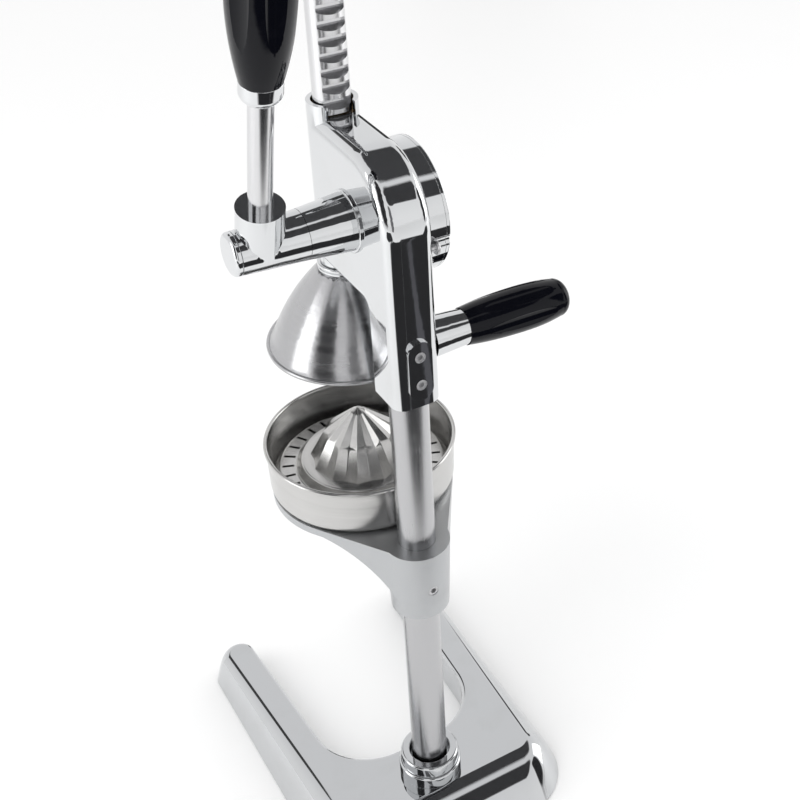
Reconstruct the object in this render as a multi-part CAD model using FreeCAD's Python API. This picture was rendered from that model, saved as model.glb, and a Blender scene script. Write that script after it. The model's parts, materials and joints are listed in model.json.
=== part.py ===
import FreeCAD, Part
import math
import os

Vec = FreeCAD.Vector
os.makedirs("parts", exist_ok=True)

# Lever citrus press, in millimetres. The origin is on the table, on the column's axis.
# +Z is up, the open side of the base faces -Y and the lever is on the +X side.
# The ram stands at its top stop, with the lever leaning back.

# Fits between pieces
snug = 0.02
running = 0.05
loose = 0.3
through = 1.0

# Key holes, as shares of the screw's diameter and of the depth of metal round them
key_share = 0.5
key_depth_share = 0.45
head_key_share = 0.6
head_key_depth_share = 0.6

# Column and its fixing
column_d = 28.0
column_wall = 3.0
column_foot_z = 20.0
column_top_z = 484.0
plug_length = 26.0
bolt_d = 10.0
bolt_head_d = 17.0
bolt_head_h = 6.0
bolt_reach = 20.0
washer_d = 21.0
washer_t = 2.0

# Base, open towards -Y
base_top_z = 33.0
base_shoulder_z = 24.0
base_half_width = 107.0
base_rear_y = 63.0
base_tip_y = -222.0
base_corner_r = 50.0
shoulder_inset = 9.0
shoulder_inset_tip = 5.0
shoulder_inset_rear = 18.0
shoulder_share = 0.45
shoulder_corner_r = 34.0
top_inset = 22.0
top_inset_tip = 10.0
top_inset_rear = 35.0
top_corner_r = 12.0
top_edge_share = 0.35
top_edge_w = 3.5
round_steps = 5
bay_half_width = 66.5
bay_half_width_tip = 72.5
bay_rear_y = -27.0
bay_corner_r = 50.0
base_wall = 5.0
wall_corner_share = 0.6
base_boss_d = 46.0
base_boss_floor = 8.0
sole_t = 3.0
sole_proud = 1.0
sole_inset = 2.5

# Trim collar round the foot of the column
collar_d = 50.0
collar_upper_d = 46.4
collar_bore_d = 32.0
collar_lower_h = 11.0
collar_h = 21.0
collar_round = 2.0

# Arm that carries the bowl
arm_top_z = 275.0
arm_boss_d = 49.0
arm_boss_foot_d = 44.0
arm_boss_h = 59.0
arm_ring_d = 140.0
arm_ring_bore_d = 104.0
arm_ring_t = 6.0
arm_web_foot_y = 13.0
arm_web_bend_y = -9.0
arm_web_bend_drop = 25.0
arm_web_end_y = -45.0
arm_screw_d = 8.0
arm_screw_drop = 33.5
arm_screw_sink = 0.6

# Juice bowl
bowl_rim_d = 147.2
bowl_foot_d = 142.0
bowl_h = 40.0
bowl_t = 1.5
bowl_bead_r = 1.6
bowl_corner_r = 7.0
funnel_d = 100.0
funnel_drop = 13.0
funnel_corner_r = 4.0
spout_d = 26.0
spout_length = 17.0

# Strainer and reaming cone
strainer_room = 7.0
strainer_h = 13.5
strainer_t = 1.2
strainer_corner_r = 2.0
strainer_bead_r = 1.2
strainer_ring_d = 100.0
strainer_seat_d = 92.0
strainer_seat_h = 7.0
strainer_bore_d = 16.0
slot_count = 30
slot_w = 2.4
slot_from_ring = 2.0
slot_from_edge = 3.0
cone_d = 78.0
cone_h = 43.0
cone_waist_d = 54.0
cone_waist_h = 22.0
cone_nose_d = 12.0
cone_nose_h = 40.0
cone_ridges = 12
cone_ridge_depth = 2.6
cone_wall = 3.0
cone_spigot_h = 5.0

# Pressing bell
bell_rim_d = 123.4
bell_rim_z = 403.0
bell_skirt_d = 113.6
bell_skirt_h = 7.0
bell_shoulder_d = 84.6
bell_shoulder_h = 35.0
bell_crown_d = 40.0
bell_h = 63.0
bell_t = 2.0
bell_lip_r = 1.4
bell_collar_h = 5.0
bell_collar_groove = 1.2
bell_screw_d = 8.0
bell_screw_head_d = 13.0
bell_screw_head_h = 5.0
bell_screw_reach = 24.0
bell_washer_d = 26.0
bell_washer_t = 2.0

# Ram with its rack
ram_offset = 88.0
ram_d = 26.0
ram_foot_z = 471.0
ram_length = 224.0
ram_cap_d = 32.0
ram_cap_h = 8.0
ram_cap_round = 3.0
ram_spigot_d = 10.0
ram_spigot_h = 12.0
tooth_module = 3.5
rack_addendum = 3.5
rack_dedendum = 4.4
rack_width = 20.0
rack_pockets_below = 2
rack_pockets_above = 14

# Pinion, its shaft and key
pinion_teeth = 23
pinion_z = 528.7
pinion_width = 18.0
pressure_deg = 20.0
tooth_play = 0.4
tip_gap = 0.9
shaft_d = 20.0
shaft_start_x = -31.0
shaft_end_x = 91.0
key_w = 5.0
key_h = 5.0
key_length = 16.0

# Head housing
head_half_width = 17.75
neck_front_y = -18.0
neck_rear_y = 19.0
neck_foot_z = 406.0
head_floor_z = 476.0
head_floor_corner_r = 6.0
spine_top_z = 585.0
spine_round = 50.0
head_edge_r = 10.0
front_edge_r = 4.0
sleeve_foot_z = 471.5
sleeve_rise = 9.5
sleeve_notch_w = 20.0
gear_case_gap = 1.0
gear_case_half_width = 10.5
guide_bush_wall = 1.45
guide_bush_sink = 2.5
boss_root_d = 41.0
boss_end_d = 35.0
boss_end_x = 51.3
boss_bead_d = 44.0
boss_bead_w = 1.8
boss_bead_round = 0.8
shaft_bush_wall = 3.0
outer_bush_length = 21.0
pad_w = 18.0
pad_foot_z = 413.0
pad_top_z = 459.5
pad_proud = 2.8
clamp_screw_d = 8.0
clamp_screw_low_z = 425.5
clamp_screw_high_z = 447.5

# Spring drum on the -X side
drum_d = 93.4
drum_plate_t = 4.0
drum_depth = 13.5
drum_wall = 3.0
drum_cover_t = 3.0
drum_round = 1.2
drum_spigot_h = 3.0
lock_screw_y = 10.5
lock_screw_z = 520.0
lock_screw_d = 5.0
lock_screw_head_d = 10.0
lock_screw_head_h = 2.8
lock_screw_head_round = 1.7
lock_screw_length = 8.0
lock_flange_t = 2.5
arbor_d = 26.0
spring_strip_t = 0.8
spring_half_turns = 12

# Lever
lever_x = 80.0
lever_lean_deg = 15.0
hub_root_d = 35.0
hub_end_d = 30.0
hub_end_x = 97.2
hub_cap_t = 4.8
hub_cap_round = 3.0
hub_cap_spigot_h = 4.5
hub_screw_d = 6.0
hub_screw_x = 62.0
socket_d = 32.0
socket_h = 34.0
socket_floor = 13.0
rod_d = 16.0
rod_end = 132.0
tang_d = 10.0
tang_end = 200.0
ferrule_start = 117.5
ferrule_foot_d = 18.4
ferrule_cup_h = 6.0
ferrule_swell_share = 0.4
ferrule_bulge_share = 0.67
ferrule_d = 27.0
grip_root_d = 27.0
grip_max_d = 42.6
grip_bulge_at = 68.0
grip_tip_d = 36.0
grip_length = 125.0
grip_end_r = 10.0
grip_flutes = 6
grip_flute_d = 34.0
grip_flute_depth = 2.4

# Steadying handle on the -X side of the neck
side_z = 445.5
side_droop_deg = 1.5
stem_root_d = 29.5
stem_end_d = 25.7
stem_length = 27.0
stub_d = 12.0
stub_clearance = 0.2
stub_reach = 8.0
stud_d = 8.0
stud_reach = 50.0
side_grip_root_d = 27.0
side_grip_max_d = 33.5
side_grip_bulge_at = 46.0
side_grip_tip_d = 28.0
side_grip_length = 83.0
side_grip_end_r = 8.0
side_flute_d = 28.0
side_flute_depth = 1.8

# Places and radii that follow from the sizes above
ram_y = -ram_offset
ram_top_z = ram_foot_z + ram_length
pitch_r = tooth_module * pinion_teeth / 2
pitch_line = ram_d / 2 - rack_addendum
pinion_y = ram_y + pitch_line + pitch_r
tooth_pitch = math.pi * tooth_module
pinion_tip_r = pitch_r + rack_dedendum - tip_gap
pinion_root_r = pitch_r - rack_addendum - tip_gap
gear_case_r = pinion_tip_r + gear_case_gap
sleeve_top_z = spine_top_z + sleeve_rise
guide_bush_r = ram_d / 2 + running + guide_bush_wall
gear_case_reach = math.sqrt(gear_case_r ** 2 - (pinion_y - ram_y - guide_bush_r) ** 2)
bell_crown_z = bell_rim_z + bell_h
strainer_d = bowl_foot_d - 2 * strainer_room
bowl_floor_z = arm_top_z + bowl_t
strainer_seat_z = bowl_floor_z + strainer_h + strainer_seat_h
drum_plate_x = -head_half_width - drum_plate_t
drum_open_x = -head_half_width - drum_depth
lever_way = Vec(0, math.sin(math.radians(lever_lean_deg)), math.cos(math.radians(lever_lean_deg)))
lever_foot = Vec(lever_x, pinion_y, pinion_z)
side_way = Vec(-math.cos(math.radians(side_droop_deg)), 0, -math.sin(math.radians(side_droop_deg)))
side_foot = Vec(-head_half_width, 0, side_z)
up = Vec(0, 0, 1)
right = Vec(1, 0, 0)


def placed(shape, foot, way):
    """A piece drawn along +Z, moved so that its foot and its axis are as given."""
    moved = shape.copy()
    moved.Placement = FreeCAD.Placement(foot, FreeCAD.Rotation(up, way)).multiply(moved.Placement)
    return moved


def bar(d, foot, way, start, end):
    """Round bar along a line, between two distances from its foot."""
    return Part.makeCylinder(d / 2, end - start, foot + way * start, way)


def post(d, x, y, low, high):
    return bar(d, Vec(x, y, 0), up, low, high)


def axle(d, start, end):
    """Round bar on the pinion's axis, between two places in X."""
    return bar(d, Vec(0, pinion_y, pinion_z), right, start, end)


def block(low, high):
    size = Vec(*high) - Vec(*low)
    return Part.makeBox(size.x, size.y, size.z, Vec(*low))


def closed_wire(steps, place):
    """Closed outline: a step is a point reached by a line, or a pair reached by an arc."""
    edges = []
    first = place(*steps[0])
    here = first
    for step in steps[1:]:
        if isinstance(step[0], tuple):
            there = place(*step[1])
            edges.append(Part.Arc(here, place(*step[0]), there).toShape())
        else:
            there = place(*step)
            edges.append(Part.LineSegment(here, there).toShape())
        here = there
    if (here - first).Length > 1e-6:
        edges.append(Part.LineSegment(here, first).toShape())
    return Part.Wire(edges)


def rounded(corners):
    """Outline steps from corners (a, b) or (a, b, radius)."""
    steps = []
    for index, corner in enumerate(corners):
        here = Vec(corner[0], corner[1], 0)
        radius = corner[2] if len(corner) > 2 else 0
        if radius == 0:
            steps.append((here.x, here.y))
            continue
        before = Vec(*corners[index - 1][:2], 0) - here
        after = Vec(*corners[(index + 1) % len(corners)][:2], 0) - here
        before.normalize()
        after.normalize()
        half = before.getAngle(after) / 2
        middle = before + after
        middle.normalize()
        start = here + before * (radius / math.tan(half))
        end = here + after * (radius / math.tan(half))
        bend = here + middle * (radius / math.sin(half) - radius)
        steps.append((start.x, start.y))
        steps.append(((bend.x, bend.y), (end.x, end.y)))
    return steps


def strip(path, thickness):
    """Corners of a bent sheet: along the path, and back along its left side."""
    back = []
    for index, (a, b, radius) in enumerate(path):
        sides = []
        for first, second in ((index - 1, index), (index, index + 1)):
            if first < 0 or second == len(path):
                continue
            way = Vec(path[second][0] - path[first][0], path[second][1] - path[first][1], 0)
            way.normalize()
            sides.append(Vec(-way.y, way.x, 0))
        shift = (sides[0] + sides[-1]) * (thickness / (1 + sides[0].dot(sides[-1])))
        turn = sides[0].cross(sides[-1]).z
        inner = radius - math.copysign(thickness, turn) if radius else 0
        back.append((a + shift.x, b + shift.y, max(inner, 0)))
    return list(path) + back[::-1]


def lathe(steps):
    """Solid turned about Z from an outline of (radius, height) steps."""
    wire = closed_wire(steps, lambda radius, height: Vec(radius, 0, height))
    return Part.Face(wire).revolve(Vec(0, 0, 0), up, 360)


def bead(radius, thickness, height):
    return Part.makeTorus(radius, thickness, Vec(0, 0, height), up)


def prism_z(steps, low, high):
    wire = closed_wire(steps, lambda x, y: Vec(x, y, low))
    return Part.Face(wire).extrude(up * (high - low))


def prism_x(steps, start, end):
    """Solid of a (y, z) outline between two places in X."""
    wire = closed_wire(steps, lambda y, z: Vec(start, y, z))
    return Part.Face(wire).extrude(right * (end - start))


def joined(first, *others):
    return first.fuse(list(others)).removeSplitter()


def hex_key_hole(across, depth):
    """Six-sided key hole, sunk along +Z from the ground."""
    radius = across / math.sqrt(3)
    corners = [(radius * math.cos(math.pi * k / 3), radius * math.sin(math.pi * k / 3)) for k in range(6)]
    return prism_z(corners, 0, depth)


def set_screw(d, foot, way, length):
    """Headless screw that starts at its key hole."""
    body = bar(d, foot, way, 0, length)
    return body.cut(placed(hex_key_hole(d * key_share, length * key_depth_share), foot, way))


def base_outline(z, side, side_tip, rear, corner, tip, bay_edge, shrink):
    """Outline of the base at one height, drawn in by a wall."""
    side -= shrink
    side_tip -= shrink
    rear -= shrink
    tip += shrink
    corner -= shrink * wall_corner_share
    bay = bay_half_width + bay_edge + shrink
    bay_tip = bay_half_width_tip + bay_edge + shrink
    bay_rear = bay_rear_y + bay_edge + shrink
    bay_r = bay_corner_r + (bay_edge + shrink) * wall_corner_share
    cut = 1 - math.sqrt(0.5)
    end_r = (side_tip - bay_tip) / 2
    end_x = (side_tip + bay_tip) / 2
    right_half = [
        (0, rear), (side - corner, rear),
        ((side - corner * cut, rear - corner * cut), (side, rear - corner)),
        (side_tip, tip + end_r), ((end_x, tip), (bay_tip, tip + end_r)),
        (bay, bay_rear - bay_r),
        ((bay - bay_r * cut, bay_rear - bay_r * cut), (bay - bay_r, bay_rear))]
    left_half = [
        (bay_r - bay, bay_rear), ((bay_r * cut - bay, bay_rear - bay_r * cut), (-bay, bay_rear - bay_r)),
        (-bay_tip, tip + end_r), ((-end_x, tip), (-side_tip, tip + end_r)),
        (-side, rear - corner), ((corner * cut - side, rear - corner * cut), (corner - side, rear))]
    return closed_wire(right_half + left_half, lambda x, y: Vec(x, y, z))


def base_level(z, inset, inset_tip, inset_rear, corner, bay_edge):
    """Sizes of the base's outline at one height."""
    return (z, base_half_width - inset, base_half_width - inset_tip, base_rear_y - inset_rear,
            corner, base_tip_y + inset_tip, bay_edge)


def between(first, second, share):
    return tuple(a + (b - a) * share for a, b in zip(first, second))


def base_foot_level(z):
    return base_level(z, 0, 0, 0, base_corner_r, 0)


def base_levels(low, drop):
    """Outlines from the foot up, with a rounded shoulder and a rounded top edge."""
    foot = base_foot_level(low)
    shoulder = base_level(base_shoulder_z - drop, shoulder_inset, shoulder_inset_tip,
                          shoulder_inset_rear, shoulder_corner_r, 0)
    edge = base_level(base_top_z - drop, top_inset, top_inset_tip, top_inset_rear, top_corner_r, 0)
    top = base_level(base_top_z - drop, top_inset + top_edge_w, top_inset_tip + top_edge_w,
                     top_inset_rear + top_edge_w, top_corner_r, top_edge_w)
    levels = [foot]
    bends = [(between(shoulder, foot, shoulder_share), shoulder, between(shoulder, edge, shoulder_share)),
             (between(edge, shoulder, top_edge_share), edge, top)]
    for start, corner, end in bends:
        for step in range(round_steps + 1):
            share = step / round_steps
            levels.append(between(between(start, corner, share), between(corner, end, share), share))
    return levels


def base_shell(low, drop, shrink):
    """Solid inside the base's surface, lowered and drawn in by a wall."""
    return Part.makeLoft([base_outline(*level, shrink) for level in base_levels(low, drop)], True, True)


def base_casting():
    shell = base_shell(sole_proud, 0, 0)
    hollow = base_shell(sole_proud, base_wall, base_wall)
    foot = base_outline(*base_foot_level(sole_proud), sole_inset)
    rebate = Part.Face(foot).extrude(up * (sole_t - sole_proud))
    boss_foot = column_foot_z - base_boss_floor
    boss = post(base_boss_d, 0, 0, boss_foot, base_top_z - base_wall / 2)
    body = shell.cut([hollow, rebate]).fuse(boss.common(shell))
    socket = post(column_d + 2 * snug, 0, 0, column_foot_z, base_top_z + through)
    bolt_hole = post(bolt_d + loose, 0, 0, boss_foot - through, column_foot_z + through)
    return body.cut([socket, bolt_hole]).removeSplitter()


def rubber_sole():
    return Part.Face(base_outline(*base_foot_level(0), sole_inset + loose)).extrude(up * sole_t)


def column_washer():
    top = column_foot_z - base_boss_floor
    return post(washer_d, 0, 0, top - washer_t, top).cut(post(bolt_d + loose, 0, 0, 0, top + through))


def column_bolt():
    top = column_foot_z - base_boss_floor - washer_t
    corners = [(bolt_head_d / 2 * math.cos(math.pi * k / 3), bolt_head_d / 2 * math.sin(math.pi * k / 3))
               for k in range(6)]
    head = prism_z(corners, top - bolt_head_h, top)
    return joined(head, post(bolt_d - 2 * snug, 0, 0, top, column_foot_z + bolt_reach))


def column_plug():
    body = post(column_d - 2 * column_wall - 2 * snug, 0, 0, column_foot_z, column_foot_z + plug_length)
    return body.cut(post(bolt_d, 0, 0, 0, column_foot_z + bolt_reach + through))


def column_tube():
    tube = post(column_d, 0, 0, column_foot_z, column_top_z)
    bore = post(column_d - 2 * column_wall, 0, 0, column_foot_z - through, column_top_z + through)
    stub_hole = bar(stub_d + 2 * stub_clearance, side_foot, side_way, -head_half_width, column_d / 2)
    return tube.cut([bore, stub_hole])


def column_collar():
    foot = base_top_z
    corners = [
        (collar_bore_d / 2, foot), (collar_d / 2, foot),
        (collar_d / 2, foot + collar_lower_h, collar_round),
        (collar_upper_d / 2, foot + collar_lower_h),
        (collar_upper_d / 2, foot + collar_h, collar_round),
        (collar_bore_d / 2, foot + collar_h, collar_round / 2)]
    return lathe(rounded(corners))


def arm_plan(low, high):
    """Boss and ring seen from above, joined by straight sides that touch both."""
    rise = (arm_ring_d - arm_boss_foot_d) / 2 / ram_offset
    run = math.sqrt(1 - rise * rise)
    near = (run * arm_boss_foot_d / 2, rise * arm_boss_foot_d / 2)
    far = (run * arm_ring_d / 2, ram_y + rise * arm_ring_d / 2)
    sides = prism_z([near, far, (-far[0], far[1]), (-near[0], near[1])], low, high)
    return sides.fuse([post(arm_ring_d, 0, ram_y, low, high), post(arm_boss_foot_d, 0, 0, low, high)])


def bowl_arm():
    foot = arm_top_z - arm_boss_h
    web_z = arm_top_z - arm_ring_t
    reach = arm_ring_d + ram_offset
    side = [
        (arm_boss_d, foot), (arm_web_foot_y, foot),
        ((arm_web_bend_y, arm_top_z - arm_web_bend_drop), (arm_web_end_y, web_z)),
        (-reach, web_z), (-reach, arm_top_z), (arm_boss_d, arm_top_z)]
    web = arm_plan(foot, arm_top_z).common(prism_x(side, -arm_ring_d, arm_ring_d))
    boss = Part.makeCone(arm_boss_foot_d / 2, arm_boss_d / 2, arm_boss_h, Vec(0, 0, foot), up)
    body = web.fuse(boss)
    holes = [
        post(arm_ring_bore_d, 0, ram_y, foot, arm_top_z + through),
        post(column_d + 2 * running, 0, 0, foot - through, arm_top_z + through),
        bar(arm_screw_d, Vec(0, 0, arm_top_z - arm_screw_drop), Vec(0, 1, 0), 0, arm_boss_d)]
    return body.cut(holes).removeSplitter()


def arm_set_screw():
    z = arm_top_z - arm_screw_drop
    taper = (arm_boss_d - arm_boss_foot_d) / 2 * (arm_screw_drop / arm_boss_h)
    start = arm_boss_d / 2 - taper - arm_screw_sink
    return set_screw(arm_screw_d - 2 * snug, Vec(0, start, z), Vec(0, -1, 0), start - column_d / 2)


def juice_bowl():
    spout_top = arm_top_z - funnel_drop
    path = [
        (spout_d / 2, spout_top - spout_length, 0), (spout_d / 2, spout_top, funnel_corner_r),
        (funnel_d / 2, arm_top_z, funnel_corner_r), (bowl_foot_d / 2, arm_top_z, bowl_corner_r),
        (bowl_rim_d / 2 - bowl_bead_r, arm_top_z + bowl_h - bowl_bead_r, 0)]
    wall = lathe(rounded(strip(path, bowl_t)))
    rim = bead(bowl_rim_d / 2 - bowl_bead_r, bowl_bead_r, arm_top_z + bowl_h - bowl_bead_r)
    return placed(joined(wall, rim), Vec(0, ram_y, 0), up)


def strainer():
    plate_z = bowl_floor_z + strainer_h
    path = [
        (strainer_d / 2, bowl_floor_z, 0), (strainer_d / 2, plate_z, strainer_corner_r),
        (strainer_ring_d / 2, plate_z, strainer_corner_r),
        (strainer_seat_d / 2, strainer_seat_z, strainer_corner_r), (strainer_bore_d / 2, strainer_seat_z, 0)]
    body = lathe(rounded(strip(path, strainer_t)))
    slots = []
    for index in range(slot_count):
        slot = block((strainer_ring_d / 2 + slot_from_ring, -slot_w / 2, plate_z - strainer_t - through),
                     (strainer_d / 2 - slot_from_edge, slot_w / 2, plate_z + through))
        slot.rotate(Vec(0, 0, 0), up, index * 360 / slot_count)
        slots.append(slot)
    body = body.cut(slots)
    rim = bead(strainer_d / 2 - strainer_bead_r / 2, strainer_bead_r, bowl_floor_z + strainer_bead_r)
    return placed(joined(body, rim), Vec(0, ram_y, 0), up)


def ridged_ring(d, height, depth):
    """Star outline of the reaming cone at one height."""
    points = []
    for index in range(2 * cone_ridges):
        radius = d / 2 - depth * (index % 2)
        angle = math.pi * index / cone_ridges
        points.append(Vec(radius * math.cos(angle), radius * math.sin(angle), height))
    return Part.makePolygon(points + [points[0]])


def reamer_cone():
    foot = strainer_seat_z
    sections = [
        ridged_ring(cone_d, foot, cone_ridge_depth),
        ridged_ring(cone_waist_d, foot + cone_waist_h, cone_ridge_depth),
        ridged_ring(cone_nose_d, foot + cone_nose_h, cone_ridge_depth * cone_nose_d / cone_waist_d)]
    body = Part.makeLoft(sections, True, True)
    nose_d = cone_nose_d - 2 * cone_ridge_depth * cone_nose_d / cone_waist_d
    nose = Part.makeCone(nose_d / 2, 0, cone_h - cone_nose_h, Vec(0, 0, foot + cone_nose_h), up)
    hollow_d = cone_d - 2 * cone_ridge_depth - 2 * cone_wall
    hollow_h = cone_waist_h - cone_wall
    hollow_top_d = cone_waist_d - 2 * cone_ridge_depth - 2 * cone_wall
    hollow = Part.makeCone(hollow_d / 2, hollow_top_d / 2, hollow_h, Vec(0, 0, foot), up)
    spigot = post(strainer_bore_d - 2 * snug, 0, 0, foot - cone_spigot_h, foot + hollow_h)
    return placed(joined(body.cut(hollow), nose, spigot), Vec(0, ram_y, 0), up)


def bell_arc(offset):
    """Dome of the bell, drawn in by an offset: centre and radius of its profile."""
    arc = Part.Arc(Vec(bell_skirt_d / 2, 0, bell_skirt_h), Vec(bell_shoulder_d / 2, 0, bell_shoulder_h),
                   Vec(bell_crown_d / 2, 0, bell_h))
    circle = arc.toShape().Curve
    return circle.Center, circle.Radius - offset


def bell_body(offset, low, high):
    """Solid inside the bell's surface, drawn in by an offset, between two heights."""
    centre, radius = bell_arc(offset)

    def at(height):
        return (centre.x + math.sqrt(radius ** 2 - (height - centre.z) ** 2), height)

    middle = (bell_skirt_h + high) / 2
    return lathe([(0, high), at(high), (at(middle), at(bell_skirt_h)), (bell_rim_d / 2 - offset, low), (0, low)])


def press_bell():
    wall = bell_body(0, 0, bell_h).cut(bell_body(bell_t, 0, bell_h - bell_t))
    hole = post(bell_screw_d + loose, 0, 0, 0, bell_h + through)
    lip = bead(bell_rim_d / 2 - bell_t / 2, bell_lip_r, bell_lip_r)
    return placed(joined(wall.cut(hole), lip), Vec(0, ram_y, bell_rim_z), up)


def bell_collar():
    groove = bell_collar_groove
    middle = bell_collar_h / 2
    corners = [
        ((bell_screw_d + loose) / 2, 0), (bell_crown_d / 2, 0, groove / 2),
        (bell_crown_d / 2, middle - groove / 2), (bell_crown_d / 2 - groove, middle),
        (bell_crown_d / 2, middle + groove / 2), (bell_crown_d / 2, bell_collar_h, groove / 2),
        ((bell_screw_d + loose) / 2, bell_collar_h)]
    return placed(lathe(rounded(corners)), Vec(0, ram_y, bell_crown_z), up)


def bell_washer():
    top = bell_crown_z - bell_t
    hole = post(bell_screw_d + loose, 0, ram_y, 0, top + through)
    return post(bell_washer_d, 0, ram_y, top - bell_washer_t, top).cut(hole)


def bell_screw():
    top = bell_crown_z - bell_t - bell_washer_t
    head_foot = top - bell_screw_head_h
    head = post(bell_screw_head_d, 0, ram_y, head_foot, top)
    body = joined(head, post(bell_screw_d - 2 * snug, 0, ram_y, top, top + bell_screw_reach))
    key = hex_key_hole(bell_screw_d * head_key_share, bell_screw_head_h * head_key_depth_share)
    return body.cut(placed(key, Vec(0, ram_y, head_foot), up))


def rack_pocket(z):
    slope = math.tan(math.radians(pressure_deg))
    deep = rack_dedendum
    out = rack_addendum + through
    half = tooth_pitch / 4
    y = ram_y + pitch_line
    flank = [(y - deep, z - half + deep * slope), (y + out, z - half - out * slope),
             (y + out, z + half + out * slope), (y - deep, z + half - deep * slope)]
    return prism_x(flank, -rack_width / 2, rack_width / 2)


def ram_rack():
    body = post(ram_d, 0, ram_y, ram_foot_z, ram_top_z)
    cuts = [rack_pocket(pinion_z + index * tooth_pitch)
            for index in range(-rack_pockets_below, rack_pockets_above + 1)]
    screw_top = bell_crown_z - bell_t - bell_washer_t + bell_screw_reach
    cuts.append(post(bell_screw_d, 0, ram_y, ram_foot_z - through, screw_top + through))
    cuts.append(post(ram_spigot_d, 0, ram_y, ram_top_z - ram_spigot_h - through, ram_top_z + through))
    return body.cut(cuts)


def ram_top_cap():
    corners = [(0, 0), (ram_cap_d / 2, 0, ram_cap_round / 3), (ram_cap_d / 2, ram_cap_h, ram_cap_round),
               (0, ram_cap_h)]
    spigot = post(ram_spigot_d - 2 * snug, 0, 0, -ram_spigot_h, 0)
    return placed(joined(lathe(rounded(corners)), spigot), Vec(0, ram_y, ram_top_z), up)


def tooth_half_angle(radius):
    """Half of a pinion tooth's angle, on an involute flank."""
    base_r = pitch_r * math.cos(math.radians(pressure_deg))
    roll = math.sqrt(max((radius / base_r) ** 2 - 1, 0))
    pitch_roll = math.tan(math.radians(pressure_deg))
    half = math.pi / (2 * pinion_teeth) - tooth_play / (2 * pitch_r)
    return half + (pitch_roll - math.radians(pressure_deg)) - (roll - math.atan(roll))


def pinion_gear():
    flank_foot = max(pitch_r * math.cos(math.radians(pressure_deg)), pinion_root_r)
    flank_middle = (flank_foot + pinion_tip_r) / 2

    def at(radius, angle):
        return (pinion_y + radius * math.cos(angle), pinion_z + radius * math.sin(angle))

    steps = []
    for index in range(pinion_teeth):
        centre = math.pi + 2 * math.pi * index / pinion_teeth
        foot = tooth_half_angle(flank_foot)
        middle = tooth_half_angle(flank_middle)
        tip = tooth_half_angle(pinion_tip_r)
        steps.append(at(pinion_root_r, centre - foot))
        steps.append(at(flank_foot, centre - foot))
        steps.append((at(flank_middle, centre - middle), at(pinion_tip_r, centre - tip)))
        steps.append((at(pinion_tip_r, centre), at(pinion_tip_r, centre + tip)))
        steps.append((at(flank_middle, centre + middle), at(flank_foot, centre + foot)))
        steps.append(at(pinion_root_r, centre + foot))
    body = prism_x(steps, -pinion_width / 2, pinion_width / 2)
    return body.cut([axle(shaft_d + 2 * snug, -pinion_width, pinion_width), key_space(key_h + 2 * snug)])


def key_space(height):
    middle = pinion_z + shaft_d / 2
    return block((-key_length / 2, pinion_y - key_w / 2, middle - height / 2),
                 (key_length / 2, pinion_y + key_w / 2, middle + height / 2))


def pinion_key():
    return key_space(key_h)


def pinion_shaft():
    return axle(shaft_d, shaft_start_x, shaft_end_x).cut(key_space(key_h + 2 * snug))


def spring_arbor():
    start = drum_open_x + loose
    end = drum_plate_x - loose
    return axle(arbor_d, start, end).cut(axle(shaft_d + 2 * snug, start - through, end + through))


def head_body():
    """Neck and spine as one plate with rounded edges."""
    arc_low = spine_top_z - spine_round
    bend = spine_round * math.sqrt(0.5)
    centre_y = neck_rear_y - spine_round
    corner = head_floor_corner_r
    cut = corner * (1 - math.sqrt(0.5))
    steps = [
        (neck_front_y, neck_foot_z), (neck_front_y, head_floor_z - corner),
        ((neck_front_y - cut, head_floor_z - cut), (neck_front_y - corner, head_floor_z)),
        (ram_y, head_floor_z), (ram_y, spine_top_z), (centre_y, spine_top_z),
        ((centre_y + bend, arc_low + bend), (neck_rear_y, arc_low)), (neck_rear_y, neck_foot_z)]
    plate = prism_x(steps, -head_half_width, head_half_width)
    soft, crisp = [], []
    for edge in plate.Edges:
        ends = [vertex.Point for vertex in edge.Vertexes]
        if abs(ends[0].x - ends[1].x) > snug:
            continue
        middle = edge.valueAt((edge.FirstParameter + edge.LastParameter) / 2)
        if middle.z < neck_foot_z + snug or middle.y < ram_y + snug:
            continue
        behind = middle.y > neck_rear_y - snug or middle.z > arc_low + snug
        (soft if behind else crisp).append(edge)
    plate = plate.makeFillet(head_edge_r, soft)
    crisp_now = [edge for edge in plate.Edges for old in crisp if same_place(edge, old)]
    return plate.makeFillet(front_edge_r, crisp_now)


def same_place(edge, other):
    return (edge.CenterOfMass - other.CenterOfMass).Length < snug and abs(edge.Length - other.Length) < snug


def clamp_pad():
    radius = pad_w / 2
    steps = [
        (-radius, pad_foot_z + radius), ((0, pad_foot_z), (radius, pad_foot_z + radius)),
        (radius, pad_top_z - radius), ((0, pad_top_z), (-radius, pad_top_z - radius))]
    start = neck_rear_y - head_edge_r / 2
    wire = closed_wire(steps, lambda x, z: Vec(x, start, z))
    return Part.Face(wire).extrude(Vec(0, neck_rear_y + pad_proud - start, 0))


def pinion_boss():
    run = boss_end_x - head_half_width
    cone = Part.makeCone(boss_root_d / 2, boss_end_d / 2, run,
                         Vec(head_half_width, pinion_y, pinion_z), right)
    inside = axle(boss_root_d, 0, head_half_width)
    corners = [(0, 0), (boss_bead_d / 2, 0), (boss_bead_d / 2, boss_bead_w, boss_bead_round), (0, boss_bead_w)]
    ring = placed(lathe(rounded(corners)), Vec(head_half_width, pinion_y, pinion_z), right)
    return cone.fuse([inside, ring])


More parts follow.
